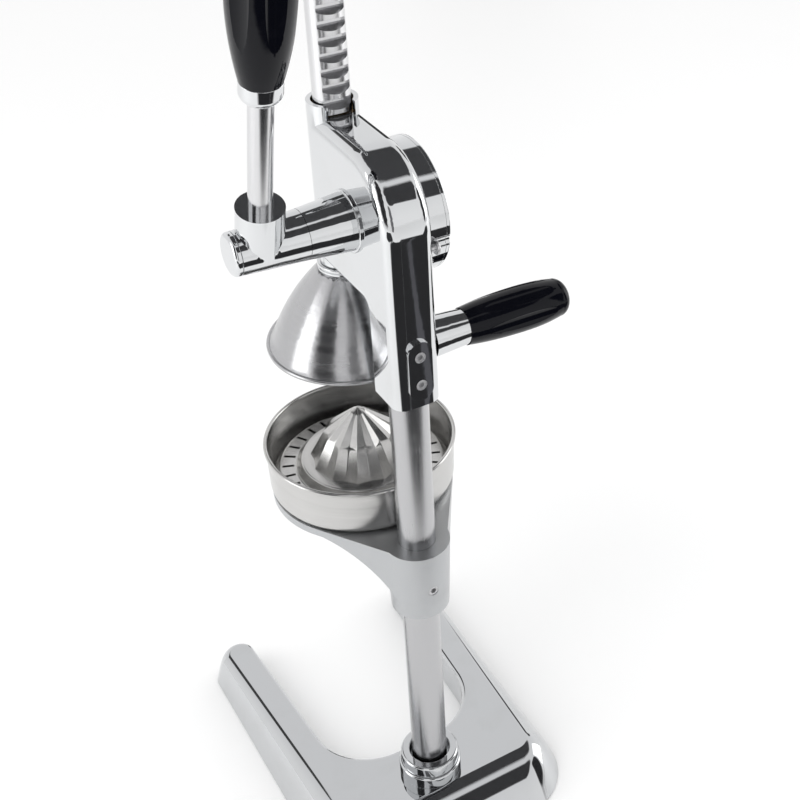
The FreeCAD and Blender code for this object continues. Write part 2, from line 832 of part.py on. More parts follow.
def head_housing():
    sleeve = post(2 * head_half_width, 0, ram_y, sleeve_foot_z, sleeve_top_z)
    body = head_body().fuse([sleeve, clamp_pad(), pinion_boss()])
    rear = neck_rear_y + pad_proud
    cuts = [
        post(2 * guide_bush_r, 0, ram_y, sleeve_foot_z - through, sleeve_top_z + through),
        post(column_d + 2 * running, 0, 0, neck_foot_z - through, column_top_z + loose),
        axle(2 * gear_case_r, -head_half_width - through, gear_case_half_width),
        axle(outer_bush_d(), gear_case_half_width - through, boss_end_x + through),
        block((-sleeve_notch_w / 2, ram_y, spine_top_z),
              (sleeve_notch_w / 2, ram_y + 2 * head_half_width, sleeve_top_z + through)),
        bar(stub_d + 2 * snug, side_foot, side_way, -head_half_width, through),
        bar(lock_screw_d, Vec(-head_half_width, lock_screw_y, lock_screw_z), right, -through,
            lock_screw_length - lock_flange_t)]
    for z in (clamp_screw_low_z, clamp_screw_high_z):
        cuts.append(bar(clamp_screw_d, Vec(0, 0, z), Vec(0, 1, 0), 0, rear + through))
    return body.cut(cuts).removeSplitter()


def outer_bush_d():
    return shaft_d + 2 * running + 2 * shaft_bush_wall


def clamp_set_screws():
    start = neck_rear_y + pad_proud - arm_screw_sink
    screws = [set_screw(clamp_screw_d - 2 * snug, Vec(0, start, z), Vec(0, -1, 0), start - column_d / 2)
              for z in (clamp_screw_low_z, clamp_screw_high_z)]
    return Part.makeCompound(screws)


def guide_bush(low, high):
    outer = post(2 * guide_bush_r, 0, ram_y, low, high)
    return outer.cut(post(ram_d + 2 * running, 0, ram_y, low - through, high + through))


def ram_bush_lower():
    return guide_bush(sleeve_foot_z, pinion_z - gear_case_reach)


def ram_bush_upper():
    return guide_bush(pinion_z + gear_case_reach, spine_top_z - guide_bush_sink)


def shaft_bush(start, end):
    return axle(outer_bush_d(), start, end).cut(axle(shaft_d + 2 * running, start - through, end + through))


def shaft_bush_outer():
    return shaft_bush(boss_end_x - outer_bush_length, boss_end_x)


def shaft_bush_inner():
    return shaft_bush(drum_plate_x, -head_half_width + drum_spigot_h)


def lock_recess(start, end):
    """Scallop in the drum's edge that clears the head of the lock screw."""
    return bar(lock_screw_head_d + 2 * loose, Vec(0, lock_screw_y, lock_screw_z), right, start, end)


def spring_drum():
    side = -head_half_width
    cup = axle(drum_d, drum_open_x, side)
    spigot = axle(2 * gear_case_r - 2 * running, side, side + drum_spigot_h)
    room = axle(drum_d - 2 * drum_wall, drum_open_x - through, drum_plate_x)
    hole = axle(outer_bush_d(), drum_open_x, side + drum_spigot_h + through)
    shank = bar(lock_screw_d + loose, Vec(0, lock_screw_y, lock_screw_z), right, drum_open_x, side)
    recess = lock_recess(drum_open_x - through, side - lock_flange_t)
    ram_room = post(ram_d + 2 * loose, 0, ram_y, sleeve_foot_z, sleeve_top_z)
    return cup.fuse(spigot).cut([room, hole, shank, recess, ram_room]).removeSplitter()


def drum_cover():
    corners = [(0, 0), (drum_d / 2, 0), (drum_d / 2, drum_cover_t, drum_round), (0, drum_cover_t)]
    disc = placed(lathe(rounded(corners)), Vec(drum_open_x, pinion_y, pinion_z), -right)
    return disc.cut(lock_recess(drum_open_x - drum_cover_t - through, drum_open_x + through))


def drum_lock_screw():
    flange = -head_half_width - lock_flange_t
    corners = [(0, 0), (lock_screw_head_d / 2, 0),
               (lock_screw_head_d / 2, lock_screw_head_h, lock_screw_head_round), (0, lock_screw_head_h)]
    head = placed(lathe(rounded(corners)), Vec(flange, lock_screw_y, lock_screw_z), -right)
    shank = bar(lock_screw_d - 2 * snug, Vec(flange, lock_screw_y, lock_screw_z), right, 0, lock_screw_length)
    key = hex_key_hole(lock_screw_d * head_key_share, lock_screw_head_h * head_key_depth_share)
    key = placed(key, Vec(flange - lock_screw_head_h, lock_screw_y, lock_screw_z), right)
    return joined(head, shank).cut(key)


def return_spring():
    """Flat strip wound in half turns, from the arbor to the drum's wall."""
    start_r = arbor_d / 2 + loose
    room = drum_d / 2 - drum_wall - spring_strip_t - start_r
    step = room / spring_half_turns

    def half_turns(extra):
        arcs = []
        for index in range(spring_half_turns):
            radius = start_r + extra + index * step
            side = 1 if index % 2 == 0 else -1
            centre = 0 if index % 2 == 0 else step
            arcs.append(((centre, side * radius), (centre - side * radius, 0), centre + side * radius))
        return arcs

    inner = half_turns(0)
    outer = half_turns(spring_strip_t)
    steps = [(inner[0][2], 0)]
    steps += [(arc[0], arc[1]) for arc in inner]
    steps.append(outer[-1][1])
    steps += [(arc[0], (arc[2], 0)) for arc in outer[::-1]]
    start = drum_open_x + loose
    wire = closed_wire(steps, lambda y, z: Vec(start, pinion_y + y, pinion_z + z))
    return Part.Face(wire).extrude(right * (drum_depth - drum_plate_t - 2 * loose))


def handle_stem():
    stem = lathe([(0, -head_half_width / 2), (stem_root_d / 2, -head_half_width / 2), (stem_root_d / 2, 0),
                  (stem_end_d / 2, stem_length), (0, stem_length)])
    stem = placed(stem, side_foot, side_way)
    wall = block((-head_half_width, -stem_root_d, side_z - 2 * stem_root_d),
                 (head_half_width, stem_root_d, side_z + 2 * stem_root_d))
    stub = bar(stub_d, side_foot, side_way, -stub_reach, 0)
    stud = bar(stud_d, side_foot, side_way, stem_length, stem_length + stud_reach)
    return joined(stem.cut(wall), stub, stud)


def swell(root_d, max_d, bulge_at, tip_d, length, end_r):
    """Turned grip that swells from its root and ends in a rounded tip."""

    def bow(end_d, run):
        rise = (max_d - end_d) / 2
        radius = (rise * rise + run * run) / (2 * rise)
        return max_d / 2 - radius + math.sqrt(radius ** 2 - (run / 2) ** 2)

    upper = length - end_r - bulge_at
    cut = end_r * (1 - math.sqrt(0.5))
    return lathe([
        (0, 0), (root_d / 2, 0), ((bow(root_d, bulge_at), bulge_at / 2), (max_d / 2, bulge_at)),
        ((bow(tip_d, upper), bulge_at + upper / 2), (tip_d / 2, length - end_r)),
        ((tip_d / 2 - cut, length - cut), (tip_d / 2 - end_r, length)), (0, length)])


def fluted(body, max_d, length, flute_d, depth, count):
    """The grip with shallow lens-shaped flutes down its widest part."""
    away = max_d / 2 + flute_d / 2 - depth
    cuts = []
    for index in range(count):
        angle = 2 * math.pi * (index + 0.5) / count
        cuts.append(post(flute_d, away * math.cos(angle), away * math.sin(angle), 0, length))
    return body.cut(cuts)


def side_grip():
    body = swell(side_grip_root_d, side_grip_max_d, side_grip_bulge_at, side_grip_tip_d,
                 side_grip_length, side_grip_end_r)
    body = fluted(body, side_grip_max_d, side_grip_length, side_flute_d, side_flute_depth, grip_flutes)
    body = body.cut(post(stud_d + 2 * snug, 0, 0, -through, stud_reach + through))
    return placed(body, side_foot + side_way * stem_length, side_way)


def lever_hub():
    start = boss_end_x + loose
    run = hub_end_x - start
    cone = Part.makeCone(hub_root_d / 2, hub_end_d / 2, run, Vec(start, pinion_y, pinion_z), right)
    body = cone.fuse(bar(socket_d, lever_foot, lever_way, 0, socket_h))
    holes = [
        axle(shaft_d + 2 * snug, start - through, hub_end_x + through),
        axle(hub_end_d + loose, hub_end_x, max(hub_end_x, lever_x + socket_d / 2) + through),
        bar(rod_d + 2 * snug, lever_foot, lever_way, socket_floor, socket_h + through),
        bar(hub_screw_d, Vec(hub_screw_x, pinion_y, pinion_z), -lever_way, 0, hub_root_d)]
    return body.cut(holes).removeSplitter()


def hub_set_screw():
    start = Vec(hub_screw_x, pinion_y, pinion_z) - lever_way * (hub_end_d / 2)
    return set_screw(hub_screw_d - 2 * snug, start, lever_way, (hub_end_d - shaft_d) / 2)


def hub_end_cap():
    corners = [(0, -hub_cap_spigot_h), (shaft_d / 2, -hub_cap_spigot_h), (shaft_d / 2, 0),
               (hub_end_d / 2, 0, hub_cap_round / 4), (hub_end_d / 2, hub_cap_t, hub_cap_round), (0, hub_cap_t)]
    return placed(lathe(rounded(corners)), Vec(hub_end_x, pinion_y, pinion_z), right)


def lever_rod():
    rod = bar(rod_d, lever_foot, lever_way, socket_floor, rod_end)
    return joined(rod, bar(tang_d, lever_foot, lever_way, rod_end, tang_end))


def lever_ferrule():
    length = rod_end - ferrule_start
    bore = rod_d / 2 + snug
    swell_d = ferrule_foot_d + (ferrule_d - ferrule_foot_d) * ferrule_bulge_share
    middle = (swell_d / 2, ferrule_cup_h * ferrule_swell_share)
    cup = lathe([(bore, 0), (ferrule_foot_d / 2, 0), (middle, (ferrule_d / 2, ferrule_cup_h)),
                 (ferrule_d / 2, length), (bore, length)])
    return placed(cup, lever_foot + lever_way * ferrule_start, lever_way)


def lever_grip():
    body = swell(grip_root_d, grip_max_d, grip_bulge_at, grip_tip_d, grip_length, grip_end_r)
    body = fluted(body, grip_max_d, grip_length, grip_flute_d, grip_flute_depth, grip_flutes)
    body = body.cut(post(tang_d + 2 * snug, 0, 0, -through, tang_end - rod_end + through))
    return placed(body, lever_foot + lever_way * rod_end, lever_way)


pieces = [
    base_casting, rubber_sole, column_bolt, column_washer, column_plug, column_tube, column_collar,
    bowl_arm, arm_set_screw, juice_bowl, strainer, reamer_cone, head_housing, clamp_set_screws,
    ram_bush_lower, ram_bush_upper, shaft_bush_outer, shaft_bush_inner, spring_drum, drum_cover,
    drum_lock_screw, return_spring, handle_stem, side_grip, pinion_shaft, pinion_gear, pinion_key,
    spring_arbor, lever_hub, hub_set_screw, hub_end_cap, lever_rod, lever_ferrule, lever_grip,
    ram_rack, ram_top_cap, bell_collar, press_bell, bell_washer, bell_screw]

for make in pieces:
    name = make.__name__
    shape = make()
    print(name, len(shape.Solids), "valid" if shape.isValid() else "NOT VALID", round(shape.Volume))
    shape.exportStep("parts/" + name + ".step")
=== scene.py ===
import bmesh
import bpy
import json
import math
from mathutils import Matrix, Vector

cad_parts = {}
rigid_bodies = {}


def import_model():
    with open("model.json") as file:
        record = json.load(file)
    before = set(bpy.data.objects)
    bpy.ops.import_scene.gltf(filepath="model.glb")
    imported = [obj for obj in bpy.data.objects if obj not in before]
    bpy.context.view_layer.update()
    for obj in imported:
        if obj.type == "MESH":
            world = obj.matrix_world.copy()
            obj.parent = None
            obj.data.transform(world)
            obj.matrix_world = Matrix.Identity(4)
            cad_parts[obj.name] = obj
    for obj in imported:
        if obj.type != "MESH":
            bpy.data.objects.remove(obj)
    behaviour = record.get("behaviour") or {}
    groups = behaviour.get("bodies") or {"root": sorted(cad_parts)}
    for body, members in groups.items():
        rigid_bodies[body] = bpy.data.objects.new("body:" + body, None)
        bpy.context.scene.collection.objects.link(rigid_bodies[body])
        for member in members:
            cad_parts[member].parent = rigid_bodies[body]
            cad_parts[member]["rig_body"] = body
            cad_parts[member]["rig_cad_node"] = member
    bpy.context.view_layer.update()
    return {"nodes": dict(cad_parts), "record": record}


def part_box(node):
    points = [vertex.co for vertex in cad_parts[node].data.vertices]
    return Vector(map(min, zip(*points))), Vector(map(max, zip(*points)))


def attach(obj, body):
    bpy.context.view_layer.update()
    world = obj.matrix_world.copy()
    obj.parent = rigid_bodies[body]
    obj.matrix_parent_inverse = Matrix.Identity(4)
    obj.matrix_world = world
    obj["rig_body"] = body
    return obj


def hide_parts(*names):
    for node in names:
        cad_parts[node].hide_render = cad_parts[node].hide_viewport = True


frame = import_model()
nodes = frame["nodes"]
scene = bpy.context.scene
scene.view_settings.view_transform = "Standard"
print("frame loaded")


# Places that several pieces share, read from the frame, in metres

def middleOf(node):
    low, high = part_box(node)
    return (low + high) / 2


ramAxis = Vector((0, middleOf("ram_rack").y, 0))
columnAxis = Vector((0, 0, 0))
bodies = frame["record"]["behaviour"]["bodies"]
bodyOf = {node: body for body, members in bodies.items() for node in members}
slotOf = {row["node"]: row["material_slot"] for row in frame["record"]["subparts"]}


# Small helpers for selections and shader nodes

def deselectAll():
    if bpy.context.object and bpy.context.object.mode == "EDIT":
        bpy.ops.object.mode_set(mode="OBJECT")
    bpy.ops.object.select_all(action="DESELECT")


def radiansOf(angles):
    return [math.radians(angle) for angle in angles]


def findSocket(node, key):
    # in0, in1, ... go by place, and any other key is the socket's name with _ for a space
    if key.startswith("in") and key[2:].isdigit():
        return node.inputs[int(key[2:])]
    return node.inputs[key.replace("_", " ")]


def setSocket(tree, socket, value):
    if isinstance(value, bpy.types.NodeSocket):
        tree.links.new(value, socket)
    else:
        socket.default_value = value


def addNode(tree, kind, props=None, **sockets):
    node = tree.nodes.new("ShaderNode" + kind)
    for key, value in (props or {}).items():
        setattr(node, key, value)
    for key, value in sockets.items():
        setSocket(tree, findSocket(node, key), value)
    return node


def byPlace(values):
    return {"in" + str(place): value for place, value in enumerate(values)}


def mathNode(tree, operation, *values):
    return addNode(tree, "Math", {"operation": operation}, **byPlace(values)).outputs[0]


def vectorNode(tree, operation, *values, output="Vector"):
    node = addNode(tree, "VectorMath", {"operation": operation}, **byPlace(values))
    return node.outputs[output]


def stretchTo(tree, value, low, high):
    # low and high of the value become 0 and 1
    return addNode(tree, "MapRange", Value=value, From_Min=low, From_Max=high).outputs[0]


def scaleTo(tree, value, low, high):
    # 0 and 1 of the value become low and high
    return addNode(tree, "MapRange", Value=value, To_Min=low, To_Max=high).outputs[0]


def blendTone(tree, mask, toneA, toneB):
    # A colour Mix node takes its two colours in sockets 6 and 7 and gives the blend in output 2
    mix = addNode(tree, "Mix", {"data_type": "RGBA"}, in0=mask, in6=(*toneA, 1), in7=(*toneB, 1))
    return mix.outputs[2]


def emptyMaterial(name):
    material = bpy.data.materials.new(name)
    material.use_nodes = True
    material.node_tree.nodes.clear()
    return material, material.node_tree


def finishShader(tree, shader):
    addNode(tree, "OutputMaterial", Surface=shader.outputs[0])


# Camera, floor and light

cameraView = {
    "lens": 64.1,
    "place": (0.3544, 0.7212, 0.9776),
    "turn": (59.508, 0.925, 148.586),
    "shift": (-0.1267, -0.1677),
    "reach": 50,
}

studio = {
    "floorSize": 40.0,
    "floorTone": (0.97, 0.97, 0.97, 1),
    "floorRoughness": 0.55,
    "white": (1, 1, 1, 1),
    "skyLevel": 0.93,
    "wallLow": (1.0, 1.0, 1.0),
    "wallHigh": (0.84, 0.84, 0.85),
    "wallFade": (0.15, 0.85),
    "lookAt": (0, -0.04, 0.42),
    "lamps": [
        {"name": "keyLamp", "place": (1.7, 0.5, 2.3), "size": (1.5, 1.5),
         "power": 16, "shines": False},
        {"name": "leftBox", "place": (2.0, -0.45, 0.75), "size": (0.9, 1.3),
         "power": 7, "shines": True},
        {"name": "rightBox", "place": (-2.0, 0.25, 0.75), "size": (0.9, 1.3),
         "power": 6, "shines": True},
    ],
}

# Dark cloths and light streaks that only shiny surfaces see
cloths = {
    "lying": [
        {"name": "nearCeilingCloth", "place": (-0.45, -0.30, 2.3), "size": (3.4, 2.3),
         "turn": (0, 0, 0), "tone": (0.045, 0.045, 0.048)},
        {"name": "farCeilingCloth", "place": (-0.45, 2.06, 2.3), "size": (3.4, 2.2),
         "turn": (0, 0, 0), "tone": (0.035, 0.035, 0.038)},
        {"name": "groundCloth", "place": (-0.3, 0.76, 0.004), "size": (2.6, 0.87),
         "turn": (0, 0, 0), "tone": (0.010, 0.010, 0.012)},
        {"name": "sideGroundCloth", "place": (1.35, 0.95, 0.004), "size": (1.1, 1.2),
         "turn": (0, 0, 30), "tone": (0.015, 0.015, 0.018)},
        {"name": "firstStreak", "place": (-0.270, 0.70, 0.006), "size": (0.006, 0.9),
         "turn": (0, 0, 24), "tone": (0.30, 0.30, 0.31)},
        {"name": "secondStreak", "place": (-0.312, 0.70, 0.006), "size": (0.004, 0.9),
         "turn": (0, 0, 24), "tone": (0.16, 0.16, 0.17)},
        {"name": "thirdStreak", "place": (-0.345, 0.70, 0.006), "size": (0.010, 0.9),
         "turn": (0, 0, 24), "tone": (0.08, 0.08, 0.09)},
    ],
    # The azimuth is counted from +X towards +Y
    "standing": [
        {"name": "leftCloth", "azimuth": 22, "width": 1.5, "low": 0.0, "high": 3.6,
         "tone": (0.02, 0.02, 0.022)},
        {"name": "middleCloth", "azimuth": 66, "width": 0.8, "low": 0.0, "high": 1.9,
         "tone": (0.16, 0.16, 0.165)},
        {"name": "rightCloth", "azimuth": 148, "width": 0.9, "low": 0.0, "high": 1.9,
         "tone": (0.02, 0.02, 0.022)},
        {"name": "backCloth", "azimuth": -122, "width": 0.45, "low": 0.0, "high": 1.1,
         "tone": (0.03, 0.03, 0.03)},
        {"name": "farCloth", "azimuth": -82, "width": 1.7, "low": 1.9, "high": 3.4,
         "tone": (0.05, 0.05, 0.05)},
        {"name": "sideCloth", "azimuth": -145, "width": 0.7, "low": 0.75, "high": 1.5,
         "tone": (0.04, 0.04, 0.04)},
    ],
    "distance": 2.4,
    "softEdge": (0.40, 0.50),
    "roughness": 0.9,
}


def makeCamera():
    deselectAll()
    bpy.ops.object.camera_add(location=cameraView["place"], rotation=radiansOf(cameraView["turn"]))
    camera = bpy.context.object
    camera.data.lens = cameraView["lens"]
    camera.data.shift_x, camera.data.shift_y = cameraView["shift"]
    camera.data.clip_end = cameraView["reach"]
    scene.camera = camera


def makeWorld():
    # Diffuse light comes from an even sky; camera, metal and glass see white walls
    # that darken a little upwards
    world = bpy.data.worlds.new("studioWorld")
    scene.world = world
    world.use_nodes = True
    tree = world.node_tree
    tree.nodes.clear()
    path = addNode(tree, "LightPath")
    way = addNode(tree, "SeparateXYZ", Vector=addNode(tree, "TexCoord").outputs["Generated"])
    height = stretchTo(tree, way.outputs["Z"], *studio["wallFade"])
    wallTone = blendTone(tree, height, studio["wallLow"], studio["wallHigh"])
    sky = addNode(tree, "Background", Color=studio["white"], Strength=studio["skyLevel"])
    walls = addNode(tree, "Background", Color=wallTone, Strength=1.0)
    seen = mathNode(tree, "MAXIMUM", path.outputs["Is Camera Ray"], path.outputs["Is Glossy Ray"])
    seen = mathNode(tree, "MAXIMUM", seen, path.outputs["Is Transmission Ray"])
    mixed = addNode(tree, "MixShader", Fac=seen, in1=sky.outputs[0], in2=walls.outputs[0])
    addNode(tree, "OutputWorld", Surface=mixed.outputs[0])


def makeFloor():
    deselectAll()
    bpy.ops.mesh.primitive_plane_add(size=studio["floorSize"], location=(0, 0, 0))
    floor = bpy.context.object
    floor.name = "studioFloor"
    material, tree = emptyMaterial("floorPaper")
    finishShader(tree, addNode(tree, "BsdfPrincipled", Base_Color=studio["floorTone"],
                               Roughness=studio["floorRoughness"]))
    floor.data.materials.append(material)


def aimAt(obj, target):
    way = Vector(target) - obj.location
    obj.rotation_euler = way.to_track_quat("-Z", "Y").to_euler()


def makeLamps():
    for lamp in studio["lamps"]:
        deselectAll()
        bpy.ops.object.light_add(type="AREA", location=lamp["place"])
        light = bpy.context.object
        light.name = lamp["name"]
        light.data.shape = "RECTANGLE"
        light.data.size, light.data.size_y = lamp["size"]
        light.data.energy = lamp["power"]
        light.visible_glossy = lamp["shines"]
        aimAt(light, studio["lookAt"])


def clothMaterial(name, tone):
    # Dark in the middle and clear at the edge, with rounded corners
    material, tree = emptyMaterial(name)
    place = addNode(tree, "TexCoord").outputs["Object"]
    square = vectorNode(tree, "MULTIPLY", place, place)
    fourthPower = vectorNode(tree, "DOT_PRODUCT", square, square, output="Value")
    reach = mathNode(tree, "POWER", fourthPower, 1 / 4)
    edge = addNode(tree, "MapRange", {"interpolation_type": "SMOOTHSTEP"}, Value=reach,
                   From_Min=cloths["softEdge"][0], From_Max=cloths["softEdge"][1])
    dark = addNode(tree, "BsdfPrincipled", Base_Color=(*tone, 1), Roughness=cloths["roughness"])
    clear = addNode(tree, "BsdfTransparent")
    finishShader(tree, addNode(tree, "MixShader", in0=edge.outputs[0], in1=dark.outputs[0],
                               in2=clear.outputs[0]))
    return material


def standingPanel(cloth):
    way = math.radians(cloth["azimuth"])
    place = (cloths["distance"] * math.cos(way), cloths["distance"] * math.sin(way),
             (cloth["low"] + cloth["high"]) / 2)
    return {"name": cloth["name"], "place": place, "turn": (90, 0, cloth["azimuth"] + 90),
            "size": (cloth["width"], cloth["high"] - cloth["low"]), "tone": cloth["tone"]}


def makeCloths():
    for panel in cloths["lying"] + [standingPanel(cloth) for cloth in cloths["standing"]]:
        deselectAll()
        bpy.ops.mesh.primitive_plane_add(size=1, location=panel["place"],
                                         rotation=radiansOf(panel["turn"]))
        plane = bpy.context.object
        plane.name = panel["name"]
        plane.scale = (*panel["size"], 1)
        plane.visible_camera = False
        plane.visible_diffuse = False
        plane.visible_shadow = False
        plane.data.materials.append(clothMaterial(panel["name"], panel["tone"]))


makeCamera()
makeWorld()
makeFloor()
makeLamps()
makeCloths()
print("studio ready")


# Surface effects that several materials share

effects = {
    "brushBandShare": 0.12,
    "spunBandShare": 0.15,
    "spunDrift": 0.0004,
    "fineSpan": (0.3, 0.7),
    "bandSpan": (0.35, 0.65),
    "marksSpan": (0.5, 0.72),
    "marksSwirl": 6.0,
    "dustSpan": (0.68, 0.78),
    "dustFineness": 90.0,
    "pitDepth": 0.4,
}


def newGroup(name, inputs, outputs):
    group = bpy.data.node_groups.new(name, "ShaderNodeTree")
    for label, kind, value in inputs:
        socket = group.interface.new_socket(name=label, in_out="INPUT",
                                            socket_type="NodeSocket" + kind)
        if value is not None:
            socket.default_value = value
    for label in outputs:
        group.interface.new_socket(name=label, in_out="OUTPUT", socket_type="NodeSocketFloat")
    start = group.nodes.new("NodeGroupInput")
    end = group.nodes.new("NodeGroupOutput")
    return group, start, end


def makeBrushGroup():
    # Fine parallel lines; Stretch is small along the lines and large across them
    inputs = [("Vector", "Vector", None), ("Stretch", "Vector", (1, 1, 1)), ("Density", "Float", 900.0)]
    group, start, end = newGroup("brushLines", inputs, ["Lines", "Bands"])
    density = start.outputs["Density"]
    place = vectorNode(group, "MULTIPLY", start.outputs["Vector"], start.outputs["Stretch"])
    fine = addNode(group, "TexNoise", Vector=place, Scale=density, Detail=5.0, Roughness=0.65)
    coarse = mathNode(group, "MULTIPLY", density, effects["brushBandShare"])
    broad = addNode(group, "TexNoise", Vector=place, Scale=coarse, Detail=2.0)
    group.links.new(stretchTo(group, fine.outputs[0], *effects["fineSpan"]), end.inputs["Lines"])
    group.links.new(stretchTo(group, broad.outputs[0], *effects["bandSpan"]), end.inputs["Bands"])
    return group


def makeSpunGroup():
    # Lathe marks: rings round the Z axis of the vector that comes in
    inputs = [("Vector", "Vector", None), ("Density", "Float", 1400.0)]
    group, start, end = newGroup("spunRings", inputs, ["Rings", "Bands"])
    density = start.outputs["Density"]
    parts = addNode(group, "SeparateXYZ", Vector=start.outputs["Vector"])
    x, y, z = parts.outputs
    flat = addNode(group, "CombineXYZ", X=x, Y=y)
    radius = vectorNode(group, "LENGTH", flat.outputs[0], output="Value")
    turn = mathNode(group, "ARCTAN2", y, x)
    drift = mathNode(group, "MULTIPLY", turn, effects["spunDrift"])
    place = addNode(group, "CombineXYZ", X=radius, Y=drift, Z=z).outputs[0]
    fine = addNode(group, "TexNoise", Vector=place, Scale=density, Detail=4.0, Roughness=0.7)
    coarse = mathNode(group, "MULTIPLY", density, effects["spunBandShare"])
    broad = addNode(group, "TexNoise", Vector=place, Scale=coarse, Detail=1.0)
    group.links.new(stretchTo(group, fine.outputs[0], *effects["fineSpan"]), end.inputs["Rings"])
    group.links.new(stretchTo(group, broad.outputs[0], *effects["bandSpan"]), end.inputs["Bands"])
    return group


def makeHandMarksGroup():
    # Faint wiping and finger marks, and specks of dust, as masks from 0 to 1
    inputs = [("Vector", "Vector", None), ("Scale", "Float", 30.0)]
    group, start, end = newGroup("handMarks", inputs, ["Marks", "Dust"])
    place, scale = start.outputs["Vector"], start.outputs["Scale"]
    cloud = addNode(group, "TexNoise", Vector=place, Scale=scale, Detail=3.0, Distortion=0.6)
    swirl = mathNode(group, "MULTIPLY", scale, effects["marksSwirl"])
    fine = addNode(group, "TexNoise", Vector=place, Scale=swirl, Detail=4.0, Roughness=0.6)
    wide = stretchTo(group, cloud.outputs[0], *effects["marksSpan"])
    both = mathNode(group, "MULTIPLY", wide, fine.outputs[0])
    speck = mathNode(group, "MULTIPLY", scale, effects["dustFineness"])
    dots = addNode(group, "TexNoise", Vector=place, Scale=speck, Detail=1.0)
    group.links.new(both, end.inputs["Marks"])
    group.links.new(stretchTo(group, dots.outputs[0], *effects["dustSpan"]), end.inputs["Dust"])
    return group


def makeGrainGroup():
    # Skin of a sand casting or a moulded surface, as a height
    inputs = [("Vector", "Vector", None), ("Scale", "Float", 900.0)]
    group, start, end = newGroup("castGrain", inputs, ["Height"])
    place, scale = start.outputs["Vector"], start.outputs["Scale"]
    grain = addNode(group, "TexNoise", Vector=place, Scale=scale, Detail=3.0, Roughness=0.6)
    pits = addNode(group, "TexVoronoi", Vector=place, Scale=scale)
    height = mathNode(group, "MULTIPLY_ADD", pits.outputs["Distance"], effects["pitDepth"],
                      grain.outputs[0])
    group.links.new(height, end.inputs["Height"])
    return group


brushLines = makeBrushGroup()
spunRings = makeSpunGroup()
handMarks = makeHandMarksGroup()
castGrain = makeGrainGroup()


def useGroup(tree, group, **sockets):
    node = tree.nodes.new("ShaderNodeGroup")
    node.node_tree = group
    for key, value in sockets.items():
        setSocket(tree, node.inputs[key], value)
    return node


def objectVector(tree, centre=(0, 0, 0)):
    place = addNode(tree, "TexCoord").outputs["Object"]
    return vectorNode(tree, "SUBTRACT", place, tuple(centre))


def shadeOf(tone, share):
    return tuple(value * share for value in tone)


# Metals and plastics

chrome = {
    "roughness": (0.025, 0.06),
    "marksScale": 26.0,
    "waveScale": 70.0,
    "waveStrength": 0.03,
    "waveDepth": 0.0005,
    "wornShares": (0.93, 0.93, 0.92),
}


def mirrorChrome(name, tone):
    material, tree = emptyMaterial(name)
    place = objectVector(tree)
    marks = useGroup(tree, handMarks, Vector=place, Scale=chrome["marksScale"]).outputs["Marks"]
    wave = addNode(tree, "TexNoise", Vector=place, Scale=chrome["waveScale"], Detail=2.0)
    bump = addNode(tree, "Bump", Strength=chrome["waveStrength"], Distance=chrome["waveDepth"],
                   Height=wave.outputs[0])
    worn = tuple(value * share for value, share in zip(tone, chrome["wornShares"]))
    finishShader(tree, addNode(tree, "BsdfPrincipled", Metallic=1.0,
                               Base_Color=blendTone(tree, marks, tone, worn),
                               Roughness=scaleTo(tree, marks, *chrome["roughness"]),
                               Normal=bump.outputs[0]))
    return material


groundBar = {
    "marksScale": 30.0,
    "marksDull": 0.06,
    "grainDepth": 0.0001,
    "darkShare": 0.92,
}


def brushedBar(name, stretch, tone, roughness, density=900.0, grain=0.12):
    # Bar stock ground along one axis
    material, tree = emptyMaterial(name)
    place = objectVector(tree)
    lines = useGroup(tree, brushLines, Vector=place, Stretch=stretch, Density=density).outputs["Lines"]
    marks = useGroup(tree, handMarks, Vector=place, Scale=groundBar["marksScale"]).outputs["Marks"]
    bump = addNode(tree, "Bump", Strength=grain, Distance=groundBar["grainDepth"], Height=lines)
    worn = mathNode(tree, "MULTIPLY_ADD", marks, groundBar["marksDull"], scaleTo(tree, lines, *roughness))
    dark = shadeOf(tone, groundBar["darkShare"])
    finishShader(tree, addNode(tree, "BsdfPrincipled", Metallic=1.0,
                               Base_Color=blendTone(tree, lines, dark, tone),
                               Roughness=worn, Normal=bump.outputs[0]))
    return material


spunMetal = {
    "density": 1500.0,
    "marksScale": 28.0,
    "marksDull": 0.05,
    "ringStrength": 0.05,
    "ringDepth": 0.0001,
    "darkShare": 0.92,
}


def spunSheet(name, tone, roughness, centre, lean):
    # Sheet spun on a lathe: rings round the axis, and highlights drawn out across them
    material, tree = emptyMaterial(name)
    place = objectVector(tree, centre)
    rings = useGroup(tree, spunRings, Vector=place, Density=spunMetal["density"])
    marks = useGroup(tree, handMarks, Vector=place, Scale=spunMetal["marksScale"]).outputs["Marks"]
    bump = addNode(tree, "Bump", Strength=spunMetal["ringStrength"],
                   Distance=spunMetal["ringDepth"], Height=rings.outputs["Rings"])
    outward = vectorNode(tree, "NORMALIZE", vectorNode(tree, "MULTIPLY", place, (1, 1, 0)))
    leant = addNode(tree, "VectorMath", {"operation": "SCALE"}, in0=outward, Scale=lean)
    along = vectorNode(tree, "ADD", leant.outputs[0], (0, 0, 1))
    worn = mathNode(tree, "MULTIPLY_ADD", marks, spunMetal["marksDull"],
                    scaleTo(tree, rings.outputs["Bands"], *roughness))
    dark = shadeOf(tone, spunMetal["darkShare"])
    finishShader(tree, addNode(tree, "BsdfPrincipled", Metallic=1.0, Anisotropic=0.75, Tangent=along,
                               Base_Color=blendTone(tree, rings.outputs["Rings"], dark, tone),
                               Roughness=worn, Normal=bump.outputs[0]))
    return material


sandCast = {
    "roughness": (0.24, 0.34),
    "grainScale": 1100.0,
    "grainStrength": 0.45,
    "grainDepth": 0.0002,
    "marksScale": 24.0,
    "wornShare": 0.88,
}


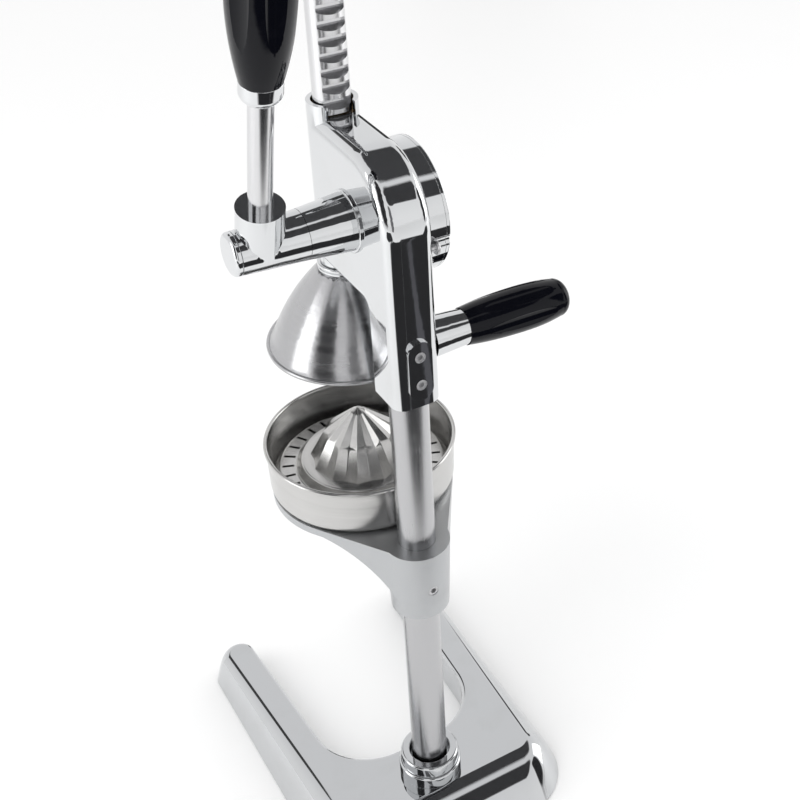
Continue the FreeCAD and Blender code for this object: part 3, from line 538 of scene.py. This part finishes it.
def satinCast(name, tone):
    material, tree = emptyMaterial(name)
    place = objectVector(tree)
    grain = useGroup(tree, castGrain, Vector=place, Scale=sandCast["grainScale"]).outputs["Height"]
    marks = useGroup(tree, handMarks, Vector=place, Scale=sandCast["marksScale"]).outputs["Marks"]
    bump = addNode(tree, "Bump", Strength=sandCast["grainStrength"],
                   Distance=sandCast["grainDepth"], Height=grain)
    worn = shadeOf(tone, sandCast["wornShare"])
    finishShader(tree, addNode(tree, "BsdfPrincipled", Metallic=1.0,
                               Base_Color=blendTone(tree, marks, tone, worn),
                               Roughness=scaleTo(tree, grain, *sandCast["roughness"]),
                               Normal=bump.outputs[0]))
    return material


gripLacquer = {
    "cleanTone": (0.0025, 0.0028, 0.0050),
    "dustyTone": (0.008, 0.008, 0.011),
    "roughness": (0.07, 0.20),
    "marksScale": 34.0,
    "rippleScale": 260.0,
    "rippleStrength": 0.03,
    "rippleDepth": 0.0003,
}


def glossBlack(name):
    material, tree = emptyMaterial(name)
    place = objectVector(tree)
    hands = useGroup(tree, handMarks, Vector=place, Scale=gripLacquer["marksScale"])
    ripple = useGroup(tree, castGrain, Vector=place, Scale=gripLacquer["rippleScale"])
    bump = addNode(tree, "Bump", Strength=gripLacquer["rippleStrength"],
                   Distance=gripLacquer["rippleDepth"], Height=ripple.outputs["Height"])
    shade = mathNode(tree, "MAXIMUM", hands.outputs["Marks"], hands.outputs["Dust"])
    tone = blendTone(tree, shade, gripLacquer["cleanTone"], gripLacquer["dustyTone"])
    finishShader(tree, addNode(tree, "BsdfPrincipled", Coat_Weight=0.18, Coat_Roughness=0.03,
                               Specular_IOR_Level=0.10, Base_Color=tone,
                               Roughness=scaleTo(tree, hands.outputs["Marks"], *gripLacquer["roughness"]),
                               Normal=bump.outputs[0]))
    return material


soleRubber = {
    "cleanTone": (0.03, 0.03, 0.03),
    "dustyTone": (0.07, 0.07, 0.068),
    "roughness": (0.6, 0.8),
    "marksScale": 40.0,
    "grainScale": 1500.0,
    "grainStrength": 0.3,
    "grainDepth": 0.0003,
}


def rubberSkin(name):
    material, tree = emptyMaterial(name)
    place = objectVector(tree)
    grain = useGroup(tree, castGrain, Vector=place, Scale=soleRubber["grainScale"]).outputs["Height"]
    marks = useGroup(tree, handMarks, Vector=place, Scale=soleRubber["marksScale"]).outputs["Marks"]
    bump = addNode(tree, "Bump", Strength=soleRubber["grainStrength"],
                   Distance=soleRubber["grainDepth"], Height=grain)
    tone = blendTone(tree, marks, soleRubber["cleanTone"], soleRubber["dustyTone"])
    finishShader(tree, addNode(tree, "BsdfPrincipled", Base_Color=tone,
                               Roughness=scaleTo(tree, grain, *soleRubber["roughness"]),
                               Normal=bump.outputs[0]))
    return material


# One material for each slot of the record
materials = {
    "base_chrome": mirrorChrome("baseChrome", (0.62, 0.63, 0.64)),
    "head_chrome": mirrorChrome("headChrome", (0.70, 0.71, 0.72)),
    "column_steel": brushedBar("columnSteel", stretch=(1.0, 1.0, 0.012), tone=(0.52, 0.52, 0.53),
                               roughness=(0.18, 0.27), density=1800.0, grain=0.14),
    "arm_aluminium": satinCast("armAluminium", (0.50, 0.51, 0.52)),
    "bowl_steel": spunSheet("bowlSteel", tone=(0.60, 0.595, 0.585), roughness=(0.20, 0.25),
                            centre=ramAxis, lean=0.5),
    "bell_steel": spunSheet("bellSteel", tone=(0.52, 0.52, 0.53), roughness=(0.20, 0.26),
                            centre=ramAxis, lean=-0.5),
    "ram_steel": brushedBar("ramSteel", stretch=(1.0, 1.0, 0.02), tone=(0.72, 0.72, 0.73),
                            roughness=(0.16, 0.22), grain=0.05),
    "rod_steel": brushedBar("rodSteel", stretch=(1.0, 0.05, 0.02), tone=(0.70, 0.70, 0.71),
                            roughness=(0.12, 0.18), grain=0.05),
    "gear_steel": brushedBar("gearSteel", stretch=(0.02, 1.0, 1.0), tone=(0.50, 0.50, 0.51),
                             roughness=(0.25, 0.38)),
    "screw_steel": spunSheet("screwSteel", tone=(0.75, 0.75, 0.76), roughness=(0.30, 0.38),
                             centre=columnAxis, lean=0.5),
    "bronze": brushedBar("bushBronze", stretch=(1.0, 1.0, 0.1), tone=(0.60, 0.42, 0.22),
                         roughness=(0.28, 0.40)),
    "spring_steel": brushedBar("springSteel", stretch=(1.0, 1.0, 1.0), tone=(0.30, 0.31, 0.34),
                               roughness=(0.25, 0.35)),
    "grip_black": glossBlack("gripBlack"),
    "sole_rubber": rubberSkin("soleRubber"),
}
print("materials ready")


# Carried-over pieces: each visible node gets a finished copy with soft edges and smooth shading

finishing = {
    "mergeWithin": 0.00001,
    "smoothAngle": 32,
    "crispAngle": 13,
    "crispNodes": ("side_grip", "lever_grip"),
    "edgeSteps": 3,
    "normalWeight": 90,
}

# How wide each edge is rounded; 0 keeps the node's own edges
edgeWidths = {
    "head_housing": 0.0006,
    "bowl_arm": 0.0012,
    "column_collar": 0.0004,
    "juice_bowl": 0,
    "strainer": 0,
    "reamer_cone": 0.0006,
    "spring_drum": 0.0003,
    "drum_cover": 0.0003,
    "drum_lock_screw": 0.0002,
    "handle_stem": 0.0003,
    "side_grip": 0.0005,
    "lever_hub": 0.0005,
    "hub_end_cap": 0.0002,
    "lever_rod": 0.0003,
    "lever_ferrule": 0.0003,
    "lever_grip": 0.0006,
    "ram_rack": 0.0003,
    "ram_top_cap": 0.0003,
    "bell_collar": 0.0002,
    "press_bell": 0,
    "column_tube": 0.0003,
    "clamp_set_screws": 0.0002,
    "arm_set_screw": 0.0002,
}


def smoothPiece(piece, angle):
    bpy.ops.object.shade_smooth_by_angle(angle=math.radians(angle))
    weights = piece.modifiers.new("faceNormals", "WEIGHTED_NORMAL")
    weights.weight = finishing["normalWeight"]
    weights.keep_sharp = True
    bpy.ops.object.modifier_apply(modifier=weights.name)


def dressPiece(piece, node):
    # The piece takes the node's finish, moves with its body and stands in its place
    piece.data.materials.clear()
    piece.data.materials.append(materials[slotOf[node]])
    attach(piece, bodyOf[node])
    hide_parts(node)


def copyNode(node):
    deselectAll()
    piece = nodes[node].copy()
    piece.data = nodes[node].data.copy()
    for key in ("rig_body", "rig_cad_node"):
        if key in piece:
            del piece[key]
    piece.parent = None
    piece.name = node + "_finished"
    scene.collection.objects.link(piece)
    piece.select_set(True)
    bpy.context.view_layer.objects.active = piece
    bpy.ops.object.mode_set(mode="EDIT")
    bpy.ops.mesh.select_all(action="SELECT")
    bpy.ops.mesh.remove_doubles(threshold=finishing["mergeWithin"])
    bpy.ops.object.mode_set(mode="OBJECT")
    return piece


def softenEdges(piece, edgeWidth):
    bevel = piece.modifiers.new("softEdges", "BEVEL")
    bevel.width = edgeWidth
    bevel.segments = finishing["edgeSteps"]
    bevel.limit_method = "ANGLE"
    bevel.angle_limit = math.radians(finishing["smoothAngle"])
    bevel.miter_outer = "MITER_ARC"
    bevel.harden_normals = True
    bpy.ops.object.modifier_apply(modifier=bevel.name)


def finishNode(node, edgeWidth):
    piece = copyNode(node)
    if edgeWidth:
        softenEdges(piece, edgeWidth)
    crisp = node in finishing["crispNodes"]
    smoothPiece(piece, finishing["crispAngle" if crisp else "smoothAngle"])
    dressPiece(piece, node)


# Base: one smooth shell in place of the faceted casting, rolled from the foot up to the flat top

baseShape = {
    "halfWidth": 0.107,
    "rearY": 0.063,
    "tipY": -0.22195,
    "bayHalfWidth": 0.0665,
    "bayHalfWidthTip": 0.0725,
    "bayRearY": -0.027,
    "bayRadius": 0.050,
    "bayRadiusShare": 0.6,
    "soleRecess": 0.0025,
    "recessRoof": 0.003,
    # height, how far side, tip and rear are drawn in, corner radius, how far the bay is widened
    "foot": (0.001, 0.0, 0.0, 0.0, 0.050, 0.0),
    "shoulder": (0.024, 0.009, 0.005, 0.018, 0.034, 0.0),
    "edge": (0.033, 0.022, 0.010, 0.035, 0.012, 0.0),
    "top": (0.033, 0.0255, 0.0135, 0.0385, 0.012, 0.0035),
    # how much of the wall and of the slope each of the two bends takes up
    "wallBend": 0.6,
    "slopeBend": 0.5,
    "topBend": 0.42,
    "bendSteps": 14,
    "arcSteps": 18,
    "smoothAngle": 30,
    "matchWithin": 0.000001,
}


def mixLevels(first, second, share):
    return tuple(a + (b - a) * share for a, b in zip(first, second))


def arcPoints(centre, radius, start, end):
    steps = baseShape["arcSteps"]
    angles = radiansOf(start + (end - start) * step / steps for step in range(steps + 1))
    return [(centre[0] + radius * math.cos(angle), centre[1] + radius * math.sin(angle))
            for angle in angles]


def baseOutline(level, shrink=0.0):
    height, sideIn, tipIn, rearIn, corner, bayEdge = level
    side = baseShape["halfWidth"] - sideIn - shrink
    sideTip = baseShape["halfWidth"] - tipIn - shrink
    rear = baseShape["rearY"] - rearIn - shrink
    tip = baseShape["tipY"] + tipIn + shrink
    bay = baseShape["bayHalfWidth"] + bayEdge + shrink
    bayTip = baseShape["bayHalfWidthTip"] + bayEdge + shrink
    bayRear = baseShape["bayRearY"] + bayEdge + shrink
    bayRadius = baseShape["bayRadius"] + (bayEdge + shrink) * baseShape["bayRadiusShare"]
    endRadius = (sideTip - bayTip) / 2
    half = arcPoints((side - corner, rear - corner), corner, 90, 0)
    half += arcPoints(((sideTip + bayTip) / 2, tip + endRadius), endRadius, 0, -180)
    half += arcPoints((bay - bayRadius, bayRear - bayRadius), bayRadius, 0, 90)
    otherHalf = [(-x, y) for x, y in reversed(half)]
    return [Vector((x, y, height)) for x, y in half + otherHalf]


def bendLevels(start, corner, end):
    shares = [step / baseShape["bendSteps"] for step in range(baseShape["bendSteps"] + 1)]
    return [mixLevels(mixLevels(start, corner, share), mixLevels(corner, end, share), share)
            for share in shares]


def baseRings():
    foot, shoulder, edge, top = (baseShape[name] for name in ("foot", "shoulder", "edge", "top"))
    wallStart = mixLevels(shoulder, foot, baseShape["wallBend"])
    slopeStart = mixLevels(shoulder, edge, baseShape["slopeBend"])
    slopeEnd = mixLevels(edge, shoulder, baseShape["topBend"])
    lowerBend = bendLevels(wallStart, shoulder, slopeStart)
    upperBend = bendLevels(slopeEnd, edge, top)
    roof = (baseShape["recessRoof"],) + foot[1:]
    recess = [baseOutline(level, baseShape["soleRecess"]) for level in (roof, foot)]
    return recess + [baseOutline(level) for level in [foot] + lowerBend + upperBend]


def placeKey(place):
    return tuple(round(value / baseShape["matchWithin"]) for value in place)


def moveRing(piece, before, after):
    shell = bmesh.from_edit_mesh(piece.data)
    target = {placeKey(old): new for old, new in zip(before, after)}
    for vertex in shell.verts:
        if vertex.select:
            vertex.co = target[placeKey(vertex.co)]
    bmesh.update_edit_mesh(piece.data)


def makeBaseShell():
    deselectAll()
    rings = baseRings()
    bpy.ops.mesh.primitive_circle_add(vertices=len(rings[0]), fill_type="NGON")
    piece = bpy.context.object
    piece.name = "base_shell"
    for vertex, place in zip(piece.data.vertices, rings[0]):
        vertex.co = place
    bpy.ops.object.mode_set(mode="EDIT")
    bpy.ops.mesh.select_all(action="SELECT")
    for before, after in zip(rings, rings[1:]):
        bpy.ops.mesh.extrude_region_move()
        moveRing(piece, before, after)
    bpy.ops.mesh.select_all(action="SELECT")
    bpy.ops.mesh.normals_make_consistent(inside=False)
    bpy.ops.object.mode_set(mode="OBJECT")
    smoothPiece(piece, baseShape["smoothAngle"])
    dressPiece(piece, "base_casting")


for node in nodes:
    nodes[node].data.materials.clear()
    nodes[node].data.materials.append(materials[slotOf[node]])
for node, edgeWidth in edgeWidths.items():
    finishNode(node, edgeWidth)
    print("finished", node)
makeBaseShell()
print("base shell ready")
